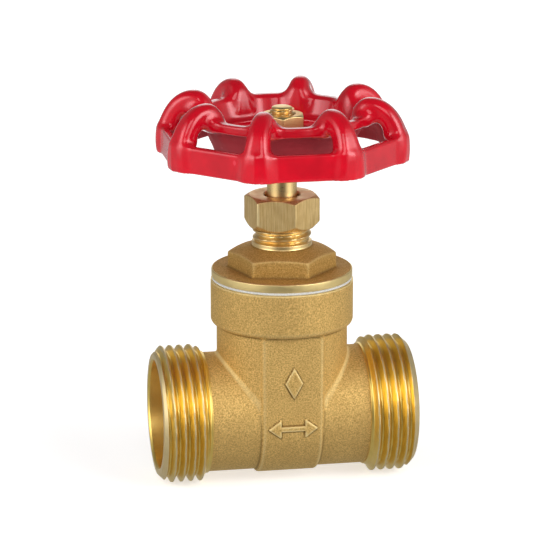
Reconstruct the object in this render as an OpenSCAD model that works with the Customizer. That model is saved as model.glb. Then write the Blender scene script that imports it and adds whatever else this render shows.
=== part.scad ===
// Small brass gate valve with a stem that turns and doesn't rise, and male threads at both ends.
// Millimetres. Origin where the flow axis (X) crosses the stem axis (Z). It is drawn fully open.

/* [Flow ends] */
// Distance between the two end faces
face_to_face = 62.2; // [60:0.1:66]
// Major radius of the pipe thread, G 1
end_thread_r = 16.62; // [16.5:0.01:16.7]
// Length of each threaded end, chamfer included
end_thread_l = 11.4; // [10:0.1:12]
// Chamfer at the mouth of each thread
end_chamfer = 1.9; // [1:0.1:2]
// Radius of the bore at each end
end_bore_r = 13.06; // [12.5:0.01:13.2]
// Depth of the wide bore from each end face
end_bore_depth = 15; // [12:0.5:16]
// Radius of the port in the two seats
port_r = 9; // [8:0.1:9.2]

/* [Body] */
// Outer radius of the branches between the thread and the chamber
branch_r = 14.5; // [14.3:0.1:15]
// Half width of the chamber along the flow
chamber_half = 7.3; // [7:0.1:8]
// Half depth of the chamber across the flow, to its flat front and back
flat_y = 15; // [14.5:0.1:15.5]
// Radius of the chamber's round bottom
chamber_bottom_r = 15.25; // [14.8:0.05:15.6]
// Radius of the neck above the branches
neck_r = 15.8; // [15.5:0.1:16.2]
// Radius of the collar that the bonnet screws into
collar_r = 17.2; // [17:0.1:18]
// Bottom of the collar
collar_z = 22.1; // [21:0.1:23]
// Top face of the collar
collar_top = 32.85; // [32:0.05:33]
// Height of the raised flow arrow on the flat front
arrow_relief = 0.5; // [0.2:0.1:0.8]

/* [Wedge] */
// Radius of the round wedge
wedge_r = 11; // [10.5:0.1:11]
// Half thickness of the wedge at its centre
wedge_half = 5; // [4.9:0.05:5.1]
// How much thicker each side of the wedge gets per millimetre of height
wedge_taper = 0.07; // [0.05:0.01:0.08]
// Free gap between the wedge and each seat when it is shut
seat_gap = 0.1; // [0.05:0.01:0.15]
// How far the wedge rises from shut to open
lift = 20; // [19:0.5:20]

/* [Stem] */
// Radius of the stem's left-hand thread
stem_thread_r = 3.5; // [3.3:0.05:3.5]
// Radius of the polished shank
shank_r = 3.6; // [3.5:0.05:3.65]
// Lower end of the stem
stem_bottom = 10.5; // [10.4:0.1:11]
// Radius of the thrust collar on the stem
stem_collar_r = 5.6; // [5:0.1:5.7]
// Across flats of the square that drives the handwheel
square_af = 5.2; // [5:0.05:5.3]
// Radius of the threaded stem end, M6
stem_end_r = 2.9; // [2.7:0.05:2.95]
// Top of the stem
stem_top = 75.2; // [74.8:0.1:76]

/* [Bonnet] */
// Radius of the bonnet's round flange
flange_r = 17; // [16.5:0.1:17.1]
// Thickness of the gasket under the flange
gasket_t = 0.65; // [0.5:0.05:0.8]
// Thickness of the flange
flange_t = 2.07; // [1.8:0.01:2.4]
// Across flats of the bonnet's hexagon
bonnet_af = 22.8; // [22.4:0.1:24]
// Outer radius of the bonnet's screwed skirt
skirt_r = 13.9; // [13.7:0.05:13.95]
// Radius of the threaded neck that carries the packing nut
bonnet_neck_r = 7.05; // [6.9:0.05:7.05]
// Radius of the packing chamber
packing_r = 5.3; // [5.2:0.05:5.4]

/* [Packing nut] */
// Across flats of the packing nut
packing_nut_af = 16; // [15.8:0.1:17]
// Underside of the packing nut
packing_nut_z = 45.8; // [45.5:0.1:46.2]
// Height of the packing nut
packing_nut_h = 7.8; // [7.5:0.1:8]

/* [Handwheel] */
// Number of lobes
lobes = 8; // [8]
// Radius to the corners of the octagonal band, which the lobes stand proud of
band_r = 30.2; // [29.8:0.1:30.6]
// Radius to the outside of each lobe
lobe_r = 30.8; // [30.6:0.1:31]
// Underside of the outer band
wheel_z = 63; // [62.8:0.1:63.4]
// Height of the outer band between the lobes
band_h = 6.3; // [5.5:0.1:7]
// Thickness of the outer band
band_t = 2.3; // [2:0.1:3]
// Top of the lobes
lobe_top = 78; // [77.6:0.1:78.4]
// Width of each lobe along the rim
lobe_w = 6.2; // [5:0.1:7]
// Inner radius of the bowl at its rim
bowl_r = 18.7; // [18.5:0.1:19]
// Number of spokes in the bowl's floor
spokes = 4; // [4]
// Across flats of the nut on the handwheel
wheel_nut_af = 10; // [10]

/* [Hidden] */
$fn = 96;

eps = 0.01;
half_length = face_to_face / 2;
brass_cast = "darkkhaki";
brass_bright = "gold";

// Body
thread_start = half_length - end_thread_l;
relief_w = 0.5;
relief_r = end_thread_r - 1.9;
seat_depth = 12.5;
cavity_r = wedge_r + 0.4;
cavity_shelf_z = 16;
cavity_neck_r = 12.9;
taper_z = wedge_r + 0.5;
rib_w = 2;
rib_reach = 10.4;
rib_z = [-2, 24];
collar_round = 1;
body_thread_clear = 0.05;

// Wedge, drawn lifted
groove_w = rib_w + 0.4;
groove_y = rib_reach - 0.3;
boss_r = 5.6;
boss_top = 15;
wedge_bore_clear = 0.05;

// Bonnet, from its skirt up to its neck
gasket_top = collar_top + gasket_t;
flange_top = gasket_top + flange_t;
skirt_bottom = 25.5;
skirt_bore_r = 11.6;
ring_r = 8.6;
bonnet_hex_top = 39.3;
bonnet_cone_top = 41.1;
bonnet_ring_r = 7.2;
bonnet_ring_top = 42.4;
bonnet_neck_top = 50.5;
bonnet_phase = 48;
stem_hole_r = 3.68;
packing_floor = 43;

// Stem and what holds it
ring_z = 35.3;
ring_top = 38;
ring_hole_r = 3.75;
spanner_hole_r = 0.8;
spanner_pcr = 6.2;
stem_collar_z = 38.1;
stem_collar_top = 40.05;
washer_z = 40.1;
washer_top = 40.8;
thrust_washer_r = 5.9;
thrust_recess_r = 6;
shank_top = 64.9;
square_top = 68.9;

// Packing, gland follower and packing nut
packing_ring_h = 1.5;
packing_hole_r = shank_r + 0.05;
packing_outer_r = packing_r - 0.02;
follower_z = packing_floor + 3 * packing_ring_h;
follower_flange_z = 51;
follower_top = 51.85;
follower_flange_r = 6.4;
packing_nut_top = packing_nut_z + packing_nut_h;
packing_nut_hole_r = 4.25;
packing_nut_phase = 40;
nut_top_chamfer = 0.7;
nut_bottom_chamfer = 1.5;

// Handwheel
lobe_phase = 22.6;
lobe_step = 360 / lobes;
bowl_top = 74;
bowl_lip_z = 71.7;
bowl_lip_t = 2.4;
bowl_wall = 1.4;
bowl_slope = 0.39;
bowl_low_z = 64.6;
bowl_floor_z = 67.1;
bowl_floor_t = 1.8;
hub_r = 6.5;
hub_z = shank_top;
spoke_w = 7;
window_r = [7.6, 14.6];
wheel_washer_r = 5.6;
wheel_washer_z = 68.9;
wheel_nut_z = 69.4;
wheel_nut_h = 3.9;
wheel_nut_phase = 22.4;

// A hexagonal prism with its corners cut to a cone of chamfer height top and bottom
module hex_prism(af, h, chamfer_top, chamfer_bottom, phase) {
    corner_r = af / sqrt(3);
    flat_r = af / 2;
    intersection() {
        rotate([0, 0, phase]) cylinder(r = corner_r, h = h, $fn = 6);
        rotate_extrude() polygon([
            [0, 0],
            [corner_r + 0.2 - chamfer_bottom, 0],
            [corner_r + 0.2, chamfer_bottom],
            [corner_r + 0.2, h - chamfer_top],
            [flat_r, h],
            [0, h]
        ]);
    }
}

// A ring with a plain hole
module ring(r, hole_r, h) {
    difference() {
        cylinder(r = r, h = h);
        translate([0, 0, -eps]) cylinder(r = hole_r, h = h + 2 * eps);
    }
}

// The same shape at both ends of the flow axis
module both_ends() {
    rotate([0, 90, 0]) children();
    rotate([0, -90, 0]) children();
}

// One end of the body, drawn along +Z: branch, relief groove and chamfered thread
module body_end() {
    cylinder(r = branch_r, h = thread_start);
    translate([0, 0, thread_start]) rotate_extrude() polygon([
        [0, -eps],
        [relief_r, -eps],
        [relief_r, relief_w],
        [end_thread_r, relief_w + end_thread_r - relief_r],
        [end_thread_r, end_thread_l - end_chamfer],
        [end_thread_r - end_chamfer, end_thread_l],
        [0, end_thread_l]
    ]);
}

// The way through one end, drawn along +Z: seat port, cone and wide bore
module end_bore() {
    cylinder(r = port_r, h = half_length + 1);
    translate([0, 0, seat_depth]) rotate_extrude() polygon([
        [0, 0],
        [port_r, 0],
        [end_bore_r, half_length - end_bore_depth - seat_depth],
        [end_bore_r, half_length - seat_depth + 1],
        [0, half_length - seat_depth + 1]
    ]);
}

// Chamber outline across the flow: flat front and back with a round bottom, as a bar along X
module u_bar(half_x, half_y, bottom_r, top) {
    rotate([90, 0, 90]) linear_extrude(2 * half_x, center = true) {
        circle(r = bottom_r);
        translate([-half_y, 0]) square([2 * half_y, top]);
    }
}

// The space the wedge moves in, with inclined seats
module gate_cavity() {
    top_half = wedge_half + seat_gap + wedge_taper * taper_z;
    low_half = wedge_half + seat_gap - wedge_taper * taper_z;
    intersection() {
        u_bar(neck_r, cavity_r, cavity_r, cavity_neck_r + taper_z);
        rotate([90, 0, 0]) linear_extrude(4 * neck_r, center = true) polygon([
            [-low_half, -taper_z],
            [low_half, -taper_z],
            [top_half, taper_z],
            [top_half, cavity_shelf_z + 1],
            [-top_half, cavity_shelf_z + 1],
            [-top_half, taper_z]
        ]);
    }
    translate([0, 0, cavity_shelf_z]) cylinder(r = cavity_neck_r, h = skirt_bottom - cavity_shelf_z);
    translate([0, 0, skirt_bottom - 0.6]) cylinder(r = skirt_r + body_thread_clear, h = 20);
}

// Two ribs that keep the wedge from turning with the stem
module guide_ribs() {
    for (side = [-1, 1])
        translate([-rib_w / 2, side > 0 ? rib_reach : -cavity_neck_r - 1, rib_z[0]])
            cube([rib_w, cavity_neck_r + 1 - rib_reach, rib_z[1] - rib_z[0]]);
}

// Raised arrow with a head at each end, because the valve may be fitted either way round
module flow_arrow() {
    shaft_l = 6;
    shaft_w = 1.1;
    head_l = 2.6;
    head_w = 3.4;
    translate([0, -flat_y + eps, 0]) rotate([90, 0, 0]) linear_extrude(arrow_relief + eps) {
        square([shaft_l, shaft_w], center = true);
        for (side = [-1, 1])
            polygon([
                [side * (shaft_l / 2 + head_l), 0],
                [side * shaft_l / 2, head_w / 2],
                [side * shaft_l / 2, -head_w / 2]
            ]);
    }
}

module body() {
    color(brass_cast) union() {
        difference() {
            union() {
                both_ends() body_end();
                u_bar(chamber_half, flat_y, chamber_bottom_r, collar_z + 1);
                intersection() {
                    cylinder(r = neck_r, h = collar_z + 1);
                    translate([-neck_r, -flat_y, 0]) cube([2 * neck_r, 2 * flat_y, collar_z + 1]);
                }
                translate([0, 0, collar_z]) rotate_extrude() polygon([
                    [0, 0],
                    [collar_r - collar_round, 0],
                    [collar_r - collar_round / 3, collar_round / 3],
                    [collar_r, collar_round],
                    [collar_r, collar_top - collar_z],
                    [0, collar_top - collar_z]
                ]);
                flow_arrow();
            }
            both_ends() end_bore();
            gate_cavity();
        }
        guide_ribs();
    }
}

module wedge() {
    top_half = wedge_half + wedge_taper * wedge_r;
    low_half = wedge_half - wedge_taper * wedge_r;
    color(brass_cast) translate([0, 0, lift]) difference() {
        union() {
            intersection() {
                rotate([0, 90, 0]) cylinder(r = wedge_r, h = 4 * wedge_half, center = true);
                rotate([90, 0, 0]) linear_extrude(4 * wedge_r, center = true) polygon([
                    [-low_half, -wedge_r],
                    [low_half, -wedge_r],
                    [top_half, wedge_r],
                    [-top_half, wedge_r]
                ]);
            }
            cylinder(r = boss_r, h = boss_top);
        }
        translate([0, 0, stem_bottom - lift - 0.2])
            cylinder(r = stem_thread_r + wedge_bore_clear, h = boss_top + lift);
        for (side = [-1, 1])
            translate([-groove_w / 2, side > 0 ? groove_y : -wedge_r - 1, -wedge_r])
                cube([groove_w, wedge_r + 1 - groove_y, 2 * wedge_r]);
    }
}

module stem() {
    color(brass_bright) {
        rotate_extrude() polygon([
            [0, stem_bottom],
            [stem_thread_r - 0.6, stem_bottom],
            [stem_thread_r, stem_bottom + 0.6],
            [stem_thread_r, stem_collar_z],
            [stem_collar_r, stem_collar_z],
            [stem_collar_r, stem_collar_top],
            [shank_r, stem_collar_top],
            [shank_r, shank_top],
            [0, shank_top]
        ]);
        intersection() {
            translate([0, 0, shank_top - 1]) cylinder(r = shank_r, h = square_top - shank_top + 1);
            rotate([0, 0, lobe_phase])
                translate([-square_af / 2, -square_af / 2, shank_top - 1])
                    cube([square_af, square_af, square_top - shank_top + 1]);
        }
        rotate_extrude() polygon([
            [0, square_top - 1],
            [stem_end_r - 0.4, square_top - 1],
            [stem_end_r - 0.4, square_top],
            [stem_end_r, square_top],
            [stem_end_r, stem_top - 1],
            [stem_end_r - 0.6, stem_top - 0.3],
            [stem_end_r - 1.6, stem_top],
            [0, stem_top]
        ]);
    }
}

module stem_retaining_ring() {
    color(brass_bright) translate([0, 0, ring_z]) difference() {
        ring(ring_r, ring_hole_r, ring_top - ring_z);
        for (side = [-1, 1])
            translate([side * spanner_pcr, 0, -eps]) cylinder(r = spanner_hole_r, h = ring_top - ring_z + 1);
    }
}

module thrust_washer() {
    color("white") translate([0, 0, washer_z]) ring(thrust_washer_r, packing_hole_r, washer_top - washer_z);
}

module bonnet() {
    color(brass_cast) difference() {
        union() {
            translate([0, 0, skirt_bottom]) cylinder(r = skirt_r, h = gasket_top - skirt_bottom + eps);
            translate([0, 0, gasket_top]) cylinder(r = flange_r, h = flange_t);
            translate([0, 0, flange_top - eps]) intersection() {
                rotate([0, 0, bonnet_phase])
                    cylinder(r = bonnet_af / sqrt(3), h = bonnet_cone_top - flange_top, $fn = 6);
                rotate_extrude() polygon([
                    [0, 0],
                    [bonnet_af, 0],
                    [bonnet_af / sqrt(3) + eps, bonnet_hex_top - flange_top],
                    [bonnet_ring_r, bonnet_cone_top - flange_top],
                    [0, bonnet_cone_top - flange_top]
                ]);
            }
            rotate_extrude() polygon([
                [0, bonnet_hex_top],
                [bonnet_ring_r, bonnet_hex_top],
                [bonnet_ring_r, bonnet_ring_top],
                [bonnet_neck_r, bonnet_ring_top],
                [bonnet_neck_r, bonnet_neck_top - 0.5],
                [bonnet_neck_r - 0.5, bonnet_neck_top],
                [0, bonnet_neck_top]
            ]);
        }
        translate([0, 0, skirt_bottom - 1]) cylinder(r = skirt_bore_r, h = collar_top - skirt_bottom + 1);
        translate([0, 0, skirt_bottom]) cylinder(r = ring_r, h = ring_top - skirt_bottom);
        translate([0, 0, skirt_bottom]) cylinder(r = thrust_recess_r, h = washer_top - skirt_bottom);
        translate([0, 0, skirt_bottom]) cylinder(r = stem_hole_r, h = 30);
        translate([0, 0, packing_floor]) cylinder(r = packing_r, h = 10);
    }
}

module bonnet_gasket() {
    color("white") translate([0, 0, collar_top]) ring(collar_r - 0.3, skirt_r + 0.1, gasket_t);
}

// One ring of stem packing; place counts from the bottom
module packing_ring(place) {
    color("dimgray") translate([0, 0, packing_floor + place * packing_ring_h])
        ring(packing_outer_r, packing_hole_r, packing_ring_h);
}

module packing_ring_lower() {
    packing_ring(0);
}

module packing_ring_middle() {
    packing_ring(1);
}

module packing_ring_upper() {
    packing_ring(2);
}

module gland_follower() {
    color(brass_bright) difference() {
        rotate_extrude() polygon([
            [0, follower_z],
            [packing_r - 0.1, follower_z],
            [packing_r - 0.1, follower_flange_z],
            [follower_flange_r, follower_flange_z],
            [follower_flange_r, follower_top],
            [0, follower_top]
        ]);
        translate([0, 0, follower_z - 1]) cylinder(r = stem_hole_r, h = packing_nut_h);
    }
}

module packing_nut() {
    color(brass_cast) difference() {
        translate([0, 0, packing_nut_z])
            hex_prism(packing_nut_af, packing_nut_h, nut_top_chamfer, nut_bottom_chamfer, packing_nut_phase);
        translate([0, 0, packing_nut_z - 1])
            cylinder(r = bonnet_neck_r + body_thread_clear, h = follower_top - packing_nut_z + 1);
        translate([0, 0, packing_nut_z]) cylinder(r = packing_nut_hole_r, h = packing_nut_h + 1);
    }
}

// Octagonal outer band, its corners under the lobes
module wheel_band() {
    rotate([0, 0, lobe_phase]) translate([0, 0, wheel_z]) difference() {
        cylinder(r = band_r, h = band_h, $fn = 8);
        translate([0, 0, -eps]) cylinder(r = band_r - band_t / cos(lobe_step / 2), h = band_h + 1, $fn = 8);
    }
}

// One lobe: a fin that rises from the band, rolls over the top and runs down to the bowl's rim.
// The hole under its arch is between the band and the bowl.
module wheel_lobe() {
    top = lobe_top;
    outside = [
        [lobe_r, wheel_z],
        [lobe_r, wheel_z + 2.8],
        [lobe_r - 0.3, wheel_z + 4.9],
        [lobe_r - 0.85, wheel_z + 7],
        [lobe_r - 1.75, top - 5.65],
        [lobe_r - 2.95, top - 3.7],
        [lobe_r - 4.55, top - 1.9],
        [lobe_r - 6.65, top - 0.6],
        [lobe_r - 8.4, top - 0.05],
        [lobe_r - 9.5, top],
        [lobe_r - 10.9, top - 0.3],
        [lobe_r - 12.1, top - 1],
        [lobe_r - 13.1, top - 2.1],
        [bowl_r - 1.7, bowl_top + 0.7],
        [bowl_r - 1.7, bowl_lip_z - 1.5],
        [bowl_r - 1.1, bowl_lip_z - 1.5]
    ];
    arch = [
        [bowl_r, bowl_lip_z + 0.5],
        [lobe_r - 8.2, top - 5.5],
        [lobe_r - 7, top - 5.7],
        [lobe_r - 6.3, top - 6.8],
        [lobe_r - 6, top - 9],
        [lobe_r - 3.2, wheel_z + 3],
        [lobe_r - 2.9, wheel_z]
    ];
    rotate([90, 0, 0]) linear_extrude(lobe_w, center = true) polygon(concat(outside, arch));
}

// Bowl inside the lobes: a conical wall with a thicker rim, and a floor that is cut into spokes
module wheel_bowl() {
    floor_top = bowl_floor_z + bowl_floor_t;
    outer = bowl_r + 0.2;
    low_outer = outer - bowl_slope * (bowl_lip_z - bowl_low_z);
    floor_outer = outer - bowl_slope * (bowl_lip_z - floor_top);
    difference() {
        union() {
            rotate_extrude() polygon([
                [low_outer - bowl_wall, bowl_low_z],
                [low_outer, bowl_low_z],
                [outer, bowl_lip_z],
                [bowl_r + bowl_lip_t, bowl_lip_z],
                [bowl_r + bowl_lip_t, bowl_top],
                [bowl_r, bowl_top],
                [floor_outer - bowl_wall, floor_top]
            ]);
            translate([0, 0, bowl_floor_z]) cylinder(r = floor_outer - bowl_wall + 0.2, h = bowl_floor_t);
        }
        bowl_windows();
    }
}

// Openings in the bowl's floor, between the spokes
module bowl_windows() {
    h = bowl_floor_t + 2;
    translate([0, 0, bowl_floor_z - 1]) difference() {
        cylinder(r = window_r[1], h = h);
        translate([0, 0, -1]) cylinder(r = window_r[0], h = h + 2);
        for (i = [0 : spokes / 2 - 1])
            rotate([0, 0, lobe_phase + lobe_step * 1.5 + i * 360 / spokes])
                translate([-bowl_r, -spoke_w / 2, -1]) cube([2 * bowl_r, spoke_w, h + 2]);
    }
}

module handwheel() {
    color("crimson") difference() {
        union() {
            wheel_band();
            for (i = [0 : lobes - 1])
                rotate([0, 0, lobe_phase + i * lobe_step]) wheel_lobe();
            wheel_bowl();
            translate([0, 0, hub_z]) cylinder(r = hub_r, h = wheel_washer_z - hub_z);
        }
        rotate([0, 0, lobe_phase]) translate([-square_af / 2, -square_af / 2, hub_z - 1])
            cube([square_af, square_af, wheel_washer_z - hub_z + 2]);
    }
}

module wheel_washer() {
    color("silver") translate([0, 0, wheel_washer_z])
        ring(wheel_washer_r, stem_end_r + 0.1, wheel_nut_z - wheel_washer_z);
}

module handwheel_nut() {
    color(brass_bright) translate([0, 0, wheel_nut_z]) difference() {
        hex_prism(wheel_nut_af, wheel_nut_h, 0.6, 0, wheel_nut_phase);
        translate([0, 0, -1]) cylinder(r = stem_end_r + 0.02, h = wheel_nut_h + 2);
    }
}

body();
wedge();
stem();
stem_retaining_ring();
thrust_washer();
bonnet();
bonnet_gasket();
packing_ring_lower();
packing_ring_middle();
packing_ring_upper();
gland_follower();
packing_nut();
handwheel();
wheel_washer();
handwheel_nut();
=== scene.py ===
"""The looks of a small brass gate valve with a red lobed handwheel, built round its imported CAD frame.

Lengths are in millimetres until a mesh is made, and in metres from there on.
X runs along the flow, Z runs up the stem, and the flat front of the valve faces -Y.
"""

import math

import bmesh
import bpy
import numpy as np
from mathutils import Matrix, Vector


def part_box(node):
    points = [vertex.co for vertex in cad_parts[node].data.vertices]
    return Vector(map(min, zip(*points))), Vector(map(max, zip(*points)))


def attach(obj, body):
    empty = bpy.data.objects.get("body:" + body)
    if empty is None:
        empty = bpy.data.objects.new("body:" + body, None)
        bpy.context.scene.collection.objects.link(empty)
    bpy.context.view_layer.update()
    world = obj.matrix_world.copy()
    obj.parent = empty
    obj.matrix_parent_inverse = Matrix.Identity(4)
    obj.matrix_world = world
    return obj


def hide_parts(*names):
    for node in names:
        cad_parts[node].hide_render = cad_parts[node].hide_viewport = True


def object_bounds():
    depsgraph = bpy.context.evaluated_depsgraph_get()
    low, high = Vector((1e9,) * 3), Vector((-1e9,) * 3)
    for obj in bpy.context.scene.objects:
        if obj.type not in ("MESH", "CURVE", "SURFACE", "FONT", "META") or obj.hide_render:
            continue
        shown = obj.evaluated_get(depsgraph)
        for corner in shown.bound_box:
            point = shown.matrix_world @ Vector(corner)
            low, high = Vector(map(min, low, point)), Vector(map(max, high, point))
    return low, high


MM = 0.001
TAU = 2 * math.pi

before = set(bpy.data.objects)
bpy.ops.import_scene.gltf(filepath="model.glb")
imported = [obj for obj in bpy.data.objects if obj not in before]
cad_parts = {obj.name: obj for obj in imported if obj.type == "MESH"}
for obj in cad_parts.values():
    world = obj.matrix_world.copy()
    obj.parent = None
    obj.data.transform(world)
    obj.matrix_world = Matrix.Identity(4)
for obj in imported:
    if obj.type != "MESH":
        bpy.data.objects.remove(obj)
cad_bounds = [list(corner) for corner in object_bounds()]


# ---------------------------------------------------------------- sizes read from the frame


def box_mm(node):
    """The lowest and highest corners of a CAD node, in millimetres."""
    low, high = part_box(node)
    return np.array(low) / MM, np.array(high) / MM


body_low, body_high = box_mm("body")
bonnet_low, bonnet_high = box_mm("bonnet")
nut_low, nut_high = box_mm("packing_nut")
stem_low, stem_high = box_mm("stem")
wheel_low, wheel_high = box_mm("handwheel")
gasket_low, gasket_high = box_mm("bonnet_gasket")
washer_low, washer_high = box_mm("wheel_washer")
top_nut_low, top_nut_high = box_mm("handwheel_nut")
ring_high = box_mm("stem_retaining_ring")[1]
thrust_high = box_mm("thrust_washer")[1]
follower_high = box_mm("gland_follower")[1]
packing_low = box_mm("packing_ring_lower")[0]

HALF_LENGTH = body_high[0]
THREAD_R = -body_low[2]
COLLAR_R = body_high[1]
COLLAR_TOP = body_high[2]
FLANGE_R = bonnet_high[0]
NECK_TOP = bonnet_high[2]
SKIRT_BOTTOM = bonnet_low[2]


# ---------------------------------------------------------------- turned meshes


def angles(count):
    """Evenly spaced angles round the axis."""
    return np.arange(count) * TAU / count


def polygon_radius(theta, across_flats, sides, phase, sharpness):
    """Radius of a regular polygon with softly rounded corners, in each direction theta."""
    total = np.zeros_like(theta)
    for side in range(sides):
        facing = np.cos(theta - math.radians(phase) - (side + 0.5) * TAU / sides)
        total += np.clip(facing, 0, None) ** sharpness
    return across_flats / 2 / total ** (1 / sharpness)


def thread_wave(theta, along, pitch, hand):
    """0 at a thread's root and 1 at its crest, for a helix round the axis; hand is 1 or -1."""
    turn = (along / pitch - hand * theta / TAU) % 1.0
    ramp = 1 - abs(2 * turn - 1)
    return np.clip((ramp - 0.16) / 0.68, 0, 1)


def row(theta, r, z):
    """One ring of points at radius r and height z, each a number or one value per angle."""
    r = np.broadcast_to(np.asarray(r, float), theta.shape)
    z = np.broadcast_to(np.asarray(z, float), theta.shape)
    return np.stack([r * np.cos(theta), r * np.sin(theta), z], axis=1)


def corner_rows(theta, corners, steps=4):
    """Rings along a path of corners (r, z, rounding), each corner turned into a small arc.

    The path runs from the first corner to the last. r and z may hold one value per angle.
    """
    points = []
    for r, z, rounding in corners:
        r = np.broadcast_to(np.asarray(r, float), theta.shape)
        z = np.broadcast_to(np.asarray(z, float), theta.shape)
        points.append((np.stack([r, z], axis=1), rounding))
    rows = []
    for index, (point, rounding) in enumerate(points):
        if rounding == 0 or index in (0, len(points) - 1):
            rows.append(row(theta, point[:, 0], point[:, 1]))
            continue
        legs = []
        for other in (points[index - 1][0], points[index + 1][0]):
            leg = other - point
            length = np.linalg.norm(leg, axis=1, keepdims=True)
            reach = np.minimum(rounding, length * 0.45)
            legs.append(point + leg / np.maximum(length, 1e-9) * reach)
        for t in np.linspace(0, 1, steps):
            curve = legs[0] * (1 - t) ** 2 + point * 2 * t * (1 - t) + legs[1] * t**2
            rows.append(row(theta, curve[:, 0], curve[:, 1]))
    return rows


def turned_mesh(rows, loop):
    """Vertices and faces of a skin over rings of points: a closed loop of rings, or capped ends."""
    count = len(rows[0])
    verts = np.concatenate(rows)
    faces = []
    pairs = len(rows) if loop else len(rows) - 1
    for lower in range(pairs):
        upper = (lower + 1) % len(rows)
        for i in range(count):
            j = (i + 1) % count
            faces.append((lower * count + i, lower * count + j, upper * count + j, upper * count + i))
    if not loop:
        last = (len(rows) - 1) * count
        faces.append(tuple(reversed(range(count))))
        faces.append(tuple(range(last, last + count)))
    return verts, faces


# ---------------------------------------------------------------- blended solids


def soft_min(a, b, reach):
    """The smaller of two distances, blended where they are within reach: a fillet between two solids."""
    h = np.clip(0.5 + 0.5 * (b - a) / reach, 0, 1)
    return b * (1 - h) + a * h - reach * h * (1 - h)


def soft_max(a, b, reach):
    """The larger of two distances, blended: a rounded edge where two solids cross."""
    return -soft_min(-a, -b, reach)


def slab(value, low, high):
    """Distance to the space between two parallel faces."""
    return np.maximum(low - value, value - high)


def rounded_both(first, second, rounding):
    """Where two distances are both negative, with the edge between them rounded."""
    first, second = first + rounding, second + rounding
    outside = np.hypot(np.maximum(first, 0), np.maximum(second, 0))
    return outside + np.minimum(np.maximum(first, second), 0) - rounding


def net_mesh(field, low, high, step):
    """A mesh of the surface where field(x, y, z) is zero, pulled exactly onto that surface."""
    axes = [np.arange(lo - step, hi + 2 * step, step) for lo, hi in zip(low, high)]
    grid = field(*np.meshgrid(*axes, indexing="ij", sparse=True))
    grid = np.broadcast_to(grid, [len(a) for a in axes])
    inside = grid < 0
    cells = [n - 1 for n in grid.shape]
    corners = [(i, j, k) for i in (0, 1) for j in (0, 1) for k in (0, 1)]

    def shifted(array, i, j, k):
        """The array at one of the eight corners of every cell."""
        return array[i : i + cells[0], j : j + cells[1], k : k + cells[2]]

    filled = sum(shifted(inside, *c).astype(np.int8) for c in corners)
    active = (filled > 0) & (filled < 8)
    number = np.full(active.shape, -1, np.int64)
    number[active] = np.arange(active.sum())
    where = np.argwhere(active)
    total = np.zeros((len(where), 3))
    crossings = np.zeros(len(where))
    for c in corners:
        for axis in range(3):
            if c[axis]:
                continue
            d = tuple(c[k] + (k == axis) for k in range(3))
            a = shifted(grid, *c)[active]
            b = shifted(grid, *d)[active]
            cut = (a < 0) != (b < 0)
            t = np.where(cut, a / np.where(cut, a - b, 1), 0)
            point = np.tile(np.array(c, float), (len(where), 1))
            point[:, axis] += t
            total += np.where(cut[:, None], point, 0)
            crossings += cut
    verts = (where + total / crossings[:, None]) * step + [a[0] for a in axes]

    faces = []
    for axis in range(3):
        first, second = [k for k in range(3) if k != axis]
        ahead = np.roll(inside, -1, axis)
        edge = inside != ahead
        for k in range(3):
            border = [slice(None)] * 3
            border[k] = [0, -1] if k != axis else [-1]
            edge[tuple(border)] = False
        at = np.argwhere(edge)
        quad = []
        for da, db in ((0, 0), (-1, 0), (-1, -1), (0, -1)):
            cell = at.copy()
            cell[:, first] += da
            cell[:, second] += db
            quad.append(number[tuple(cell.T)])
        quad = np.stack(quad, axis=1)
        flip = inside[tuple(at.T)]
        if axis == 1:
            flip = ~flip
        quad[flip] = quad[flip][:, ::-1]
        faces.append(quad)
    faces = np.concatenate(faces)

    nudge = step * 0.05
    for _ in range(4):
        value = field(*verts.T)
        slope = np.zeros_like(verts)
        for axis in range(3):
            ahead, behind = verts.copy(), verts.copy()
            ahead[:, axis] += nudge
            behind[:, axis] -= nudge
            slope[:, axis] = (field(*ahead.T) - field(*behind.T)) / (2 * nudge)
        steep = np.maximum((slope**2).sum(axis=1), 0.2)
        move = slope * (value / steep)[:, None]
        verts = verts - np.clip(move, -step / 2, step / 2)
    return verts, faces.tolist()


# ---------------------------------------------------------------- Blender objects

SHARP_ANGLE = 40


def new_piece(name, verts, faces, materials, pick=None, sharp=SHARP_ANGLE):
    """A Blender object from millimetre vertices.

    pick(centres, normals) gives each face's material number.
    """
    mesh = bpy.data.meshes.new(name)
    mesh.from_pydata((np.asarray(verts) * MM).tolist(), [], faces)
    mesh.validate()
    mesh.polygons.foreach_set("use_smooth", [True] * len(mesh.polygons))
    obj = bpy.data.objects.new(name, mesh)
    bpy.context.scene.collection.objects.link(obj)
    for material in materials:
        mesh.materials.append(material)
    outward(mesh)
    finish_mesh(obj, pick, sharp)
    return obj


def outward(mesh):
    """Makes every face point out of the solid."""
    work = bmesh.new()
    work.from_mesh(mesh)
    bmesh.ops.recalc_face_normals(work, faces=work.faces)
    if work.calc_volume(signed=True) < 0:
        bmesh.ops.reverse_faces(work, faces=work.faces)
    work.to_mesh(mesh)
    work.free()


def finish_mesh(obj, pick, sharp):
    """Marks the edges above the sharp angle, in degrees, and gives each face its material."""
    mesh = obj.data
    mesh.set_sharp_from_angle(angle=math.radians(sharp))
    if pick is None:
        return
    count = len(mesh.polygons)
    centres = np.zeros(count * 3)
    normals = np.zeros(count * 3)
    mesh.polygons.foreach_get("center", centres)
    mesh.polygons.foreach_get("normal", normals)
    numbers = pick(centres.reshape(-1, 3) / MM, normals.reshape(-1, 3))
    mesh.polygons.foreach_set("material_index", np.asarray(numbers, np.int32))


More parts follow.
